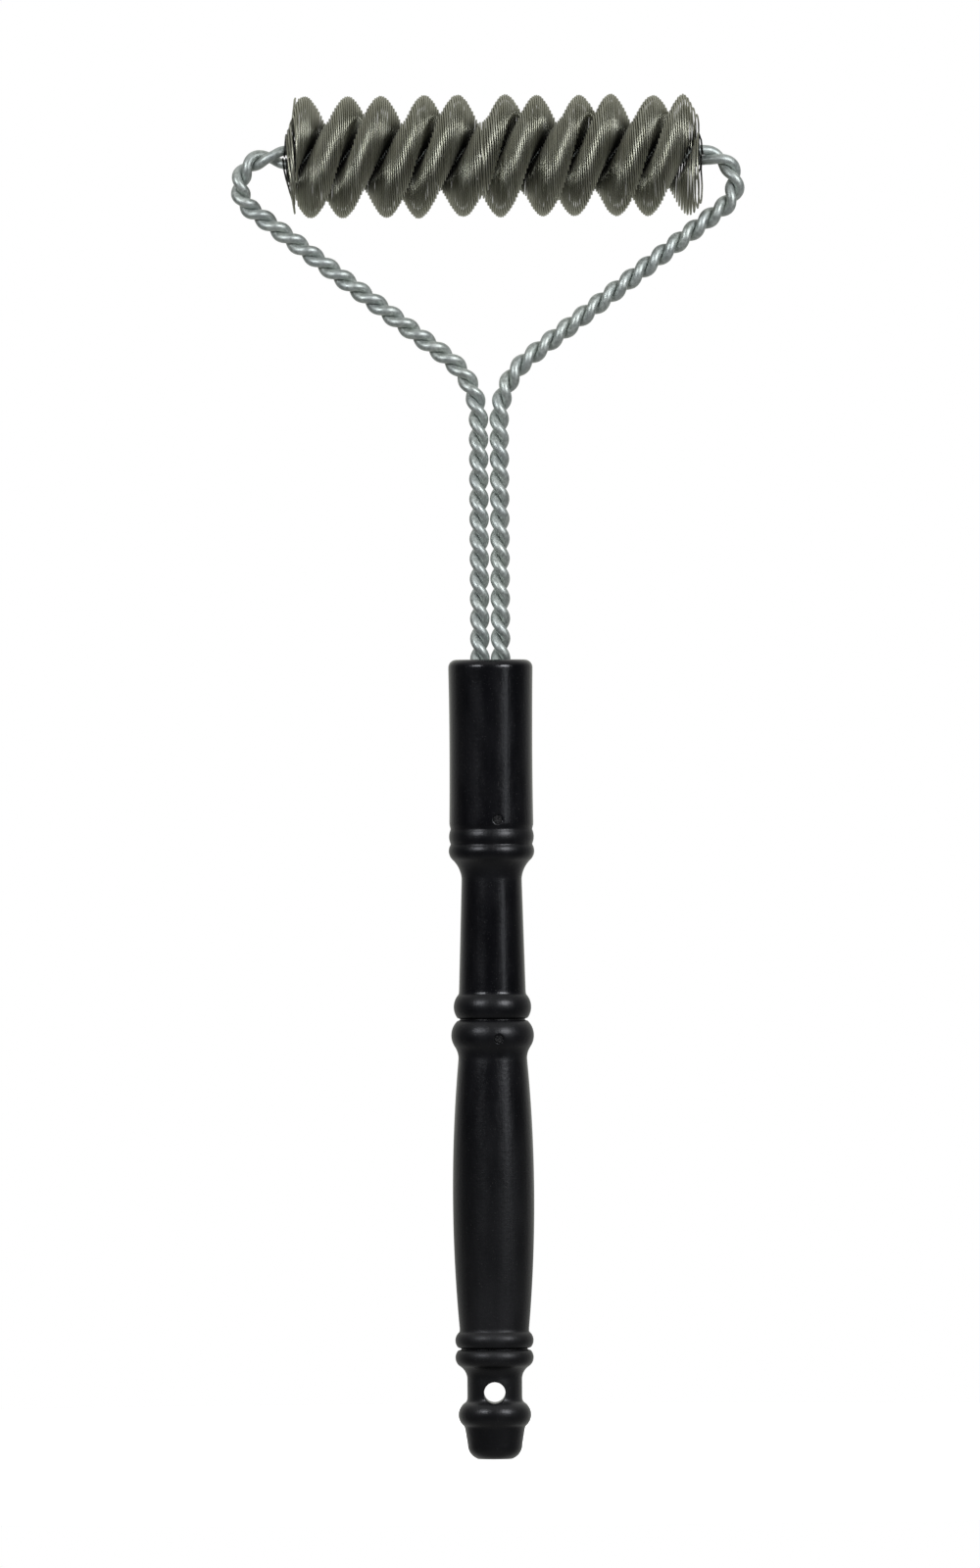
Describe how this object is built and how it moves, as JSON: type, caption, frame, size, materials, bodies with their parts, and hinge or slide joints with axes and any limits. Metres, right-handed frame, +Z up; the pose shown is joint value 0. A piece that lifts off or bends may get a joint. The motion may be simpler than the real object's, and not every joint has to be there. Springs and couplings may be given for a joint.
{
  "type": "grill cleaning brush",
  "caption": "Hand brush for grill grates: a turned black wooden handle, a triangular twisted-wire frame and a head of coiled stainless wire.",
  "frame": {"origin": "centre of the handle's butt end, the lowest point of the brush held upright", "axes": "+Z up the handle to the head, +X along the head to the right, -Y towards the user; the frame lies in the XZ plane"},
  "size_m": [0.1528, 0.0364, 0.4056],
  "materials": {
    "black_lacquered_wood": "semi-gloss black lacquer on turned hardwood",
    "nail_steel": "steel brad nail, lacquered over with the handle",
    "galvanised_wire": "bright galvanised steel wire",
    "stainless_coil": "dull fine stainless wire"
  },
  "bodies": {
    "root": {"handle": "black_lacquered_wood", "upper_nail": "nail_steel", "lower_nail": "nail_steel", "core_wire_a": "galvanised_wire", "core_wire_b": "galvanised_wire", "left_coil": "stainless_coil", "right_coil": "stainless_coil"}
  },
  "joints": []
}
